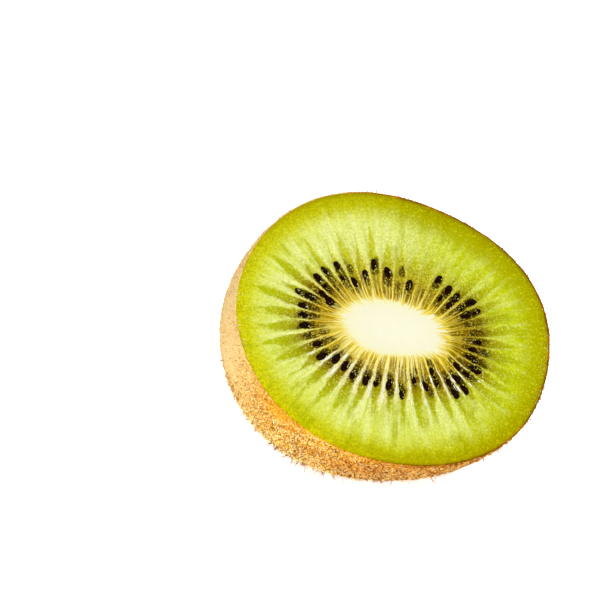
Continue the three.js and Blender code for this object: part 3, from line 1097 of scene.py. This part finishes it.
    def rim(self, flesh):
        """The skin shines brown through the flesh's edge on the clear side."""
        edge = self.fray(self.fray(self.true_reach, self.patch, 0.06), self.grit, 0.12)
        edge = self.plus(edge, self.smooth(self.toward(STAINED_TURN), 0.9, 1, 0, 0.015))
        stain = self.times((edge, 0.95, 0.995, 0, 0.45), (self.axis, 0.9, 0, 0.1, 1))
        brown = self.mix((self.cloud, 0.46, 0.6), wet(142, 100, 0), wet(214, 160, 10))
        return self.mix(stain, flesh, brown)

    def build(self):
        flesh = self.mix(self.locule_share, self.outer_flesh(), self.inner_flesh())
        flesh = self.round_core(self.golden_lines(flesh))
        flesh = self.rim(self.core(self.granular(flesh)))
        relief = self.bump(self.grit, 0.4, 0.00012)
        roughness = self.smooth(self.true_reach, -0.1, 0.15, 0.5, 0.3)
        return self.finish(Base_Color=flesh, Roughness=roughness, Normal=relief)


def skin_material():
    """Thin matt skin: smooth and pale where the hairs wore off, orange-brown elsewhere."""
    shader = Shader("kiwi skin", Specular_IOR_Level=0.02)
    place = shader.place()
    worn = shader.attribute("worn")
    patches = shader.noise(place, SKIN_PATCH_SCALE, 3)
    fleck = shader.noise(place, SKIN_FLECK_SCALE, 3, 0.7)
    # The hairy skin's dark tones and dark flecks are partly the skin's own orange-brown and partly
    # painted shade under the hairs.
    hairy = ((0.3, 164, 102, 2), (0.5, 204, 144, 22), (0.7, 234, 182, 56))
    bare = ((0.3, 242, 206, 132), (0.5, 249, 217, 148), (0.7, 252, 224, 160))
    hairy = shader.ramp(patches, *hairy, paint=fur)
    bare = shader.ramp(patches, *bare, paint=furry)
    skin = shader.mix(worn, hairy, bare)
    skin = shader.mix(shader.attribute("ripe"), skin, furry(250, 178, 20))
    dark = shader.mix(worn, fur(116, 62, 10), furry(220, 164, 98))
    skin = shader.mix((fleck, 0.48, 0.62, 0, 0.85), skin, dark)
    light = shader.mix(worn, fur(238, 186, 98), furry(255, 228, 172))
    skin = shader.mix((fleck, 0.48, 0.34, 0, 0.7), skin, light)
    # Browner where the brown share is: partly the skin's own colour, partly painted shade.
    skin = shader.mix(shader.attribute("brown"), skin, BROWNING_AND_SHADE, "MULTIPLY")
    crag = shader.noise(place, CRAG_SCALE, 4, 0.7)
    wood = ((0.35, 84, 42, 14), (0.5, 150, 94, 42), (0.68, 216, 164, 98))
    wood = shader.ramp(crag, *wood, paint=furry)
    skin = shader.mix(shader.attribute("scar"), skin, wood)
    stain = ((0.42, 118, 72, 0), (0.56, 160, 102, 4), (0.68, 210, 146, 20))
    stain = shader.ramp(shader.noise(place, CLOUD_SCALE, 3), *stain, paint=furry)
    skin = shader.mix(shader.attribute("stained"), skin, stain)
    relief = shader.bump(shader.plus(fleck, crag), 0.5, 0.0002)
    return shader.finish(Base_Color=skin, Roughness=0.8, Normal=relief)


def hair_material():
    """Soft hairs from pale straw to dark brown, each of one tone, with painted shade towards the
    root.
    """
    shader = Shader("kiwi fuzz", Roughness=0.8, Specular_IOR_Level=0.03)
    tone = shader.attribute("tone")
    along = shader.attribute("along")
    hair = shader.ramp(
        tone,
        *((0, 94, 46, 0), (0.16, 162, 98, 4), (0.28, 244, 196, 96)),
        *((0.6, 255, 240, 150), (1, 255, 248, 190)),
        paint=fur,
    )
    # Darker towards the root: painted shade among the hairs.
    hair = shader.mix((along, 0.55, 0, 0, 0.75), hair, fur(186, 116, 6))
    hair = shader.mix((along, 0.75, 1, 0, 0.45), hair, fur(172, 110, 34))
    stubble = ((0, 156, 102, 26), (0.3, 202, 160, 90), (0.8, 224, 192, 126))
    stubble = shader.ramp(tone, *stubble, paint=fur)
    hair = shader.mix(shader.attribute("worn"), hair, stubble)
    hair = shader.mix(shader.attribute("ripe"), hair, fur(253, 184, 16))
    # Browner where the brown share is: partly the hairs' own colour, partly painted shade.
    hair = shader.mix(shader.attribute("brown"), hair, BROWNING_AND_SHADE, "MULTIPLY")
    return shader.finish(Base_Color=hair)


def seed_material():
    """Brown-black seed coat with faint flecks."""
    shader = Shader("kiwi seed", Specular_IOR_Level=0, Coat_Weight=0.05, Coat_Roughness=0.05)
    place = shader.place()
    fleck = shader.noise(place, SEED_FLECK_SCALE, 3)
    coat = shader.ramp(fleck, (0.35, 16, 2, 0), (0.6, 30, 8, 0), (0.8, 60, 26, 4))
    relief = shader.bump(shader.cells(place, SEED_PIT_SCALE), 0.25, 0.00006)
    return shader.finish(Base_Color=coat, Roughness=0.3, Normal=relief)


def juice_and_glint_material():
    """Clear pale yellow-green grains, partly painted glints, and nearly white slivers and spots,
    painted reflections and highlights.
    """
    shader = Shader("kiwi juice and glints", Specular_IOR_Level=0.3, Coat_Weight=0.3, Coat_Roughness=0.05)
    patches = shader.noise(shader.place(), JUICE_SCALE)
    pale = shader.plus(shader.attribute("pale"), patches, 0.3)
    grain = shader.ramp(
        shader.times(pale, 0.6),
        *((0.1, 206, 202, 40), (0.4, 226, 224, 84)),
        *((0.65, 244, 244, 150), (0.8, 255, 255, 236)),
    )
    return shader.finish(Base_Color=grain, Roughness=0.12)


def floor_material():
    """A white light table."""
    shader = Shader("light table", Specular_IOR_Level=0.1, Emission_Strength=TABLE_GLOW)
    tint = shader.noise(shader.place(), TABLE_SCALE)
    board = shader.ramp(tint, (0.3, 0.91), (0.7, 0.93), paint=grey)
    return shader.finish(Base_Color=board, Roughness=0.85, Emission_Color=(1, 1, 1, 1))


# The studio

CAMERA_AZIMUTH = math.radians(-25.2)
CAMERA_ELEVATION = math.radians(22)
CAMERA_DISTANCE = 0.4302
CAMERA_LENS = 152.2
LEFT_OF_FACE = 14.46  # millimetres from the face's seen middle to the picture's
ABOVE_FACE = 3.99
SEEN_MIDDLE = (-0.79, -0.33, 0)  # along the face's level and upward lines
FRUIT_MIDDLE = Vector((0, 0, 0.025))
ROOM_LIGHT = 0.3
FLOOR_HALF = 2.5


def direction(azimuth, elevation):
    """The way from the object to a place in the studio."""
    level = math.cos(elevation)
    return Vector((math.sin(azimuth) * level, -math.cos(azimuth) * level, math.sin(elevation)))


def aim_back(name, data, place, way):
    """A camera or light at a place, which looks back along a way."""
    thing = add_object(name, data)
    thing.location = place
    thing.rotation_mode = "QUATERNION"
    thing.rotation_quaternion = (-way).to_track_quat("-Z", "Y")
    return thing


def make_camera():
    back = direction(CAMERA_AZIMUTH, CAMERA_ELEVATION)
    level = (-back).to_track_quat("-Z", "Y")
    right = level @ Vector((1, 0, 0))
    up = level @ Vector((0, 1, 0))
    middle = Matrix.Rotation(TILT, 3, "X") @ Vector(SEEN_MIDDLE) + Vector(FACE_MIDDLE)
    aim = (middle - LEFT_OF_FACE * right + ABOVE_FACE * up) * MM
    data = bpy.data.cameras.new("camera")
    data.lens = CAMERA_LENS
    data.sensor_width = 36
    data.clip_start = 0.01
    data.clip_end = 20
    bpy.context.scene.camera = aim_back("camera", data, aim + back * CAMERA_DISTANCE, back)


def make_light(name, azimuth, elevation, distance, size, power):
    data = bpy.data.lights.new(name, "AREA")
    data.shape = "DISK"
    data.size = size
    data.energy = power
    way = direction(math.radians(azimuth), math.radians(elevation))
    aim_back(name, data, FRUIT_MIDDLE + way * distance, way)


def make_studio():
    make_camera()
    make_light("key light", 50, 42, 0.8, 0.2, 3)
    make_light("left light", -65, 8, 1, 0.4, 5)
    make_light("low light", -30, 4, 1, 0.4, 6)
    make_light("table light", 180, 76, 1.3, 1.2, 12)
    world = bpy.data.worlds.new("white room")
    world.use_nodes = True
    room = world.node_tree.nodes["Background"]
    room.inputs["Color"].default_value = (1, 1, 1, 1)
    room.inputs["Strength"].default_value = ROOM_LIGHT
    bpy.context.scene.world = world
    bpy.context.scene.view_settings.view_transform = "Standard"
    corners = [(FLOOR_HALF * x, FLOOR_HALF * y, 0) for x, y in ((-1, -1), (1, -1), (1, 1), (-1, 1))]
    floor = add_mesh("floor", corners, [(0, 1, 2, 3)], floor_material())


make_studio()
make_flesh(FleshShader().build())
make_skin(skin_material())
make_seeds(seed_material())
make_juice_and_glints(juice_and_glint_material())
fuzz = hair_material()
for name, *numbers in HAIRS:
    make_hairs("kiwi_fuzz_" + name, *numbers, fuzz)
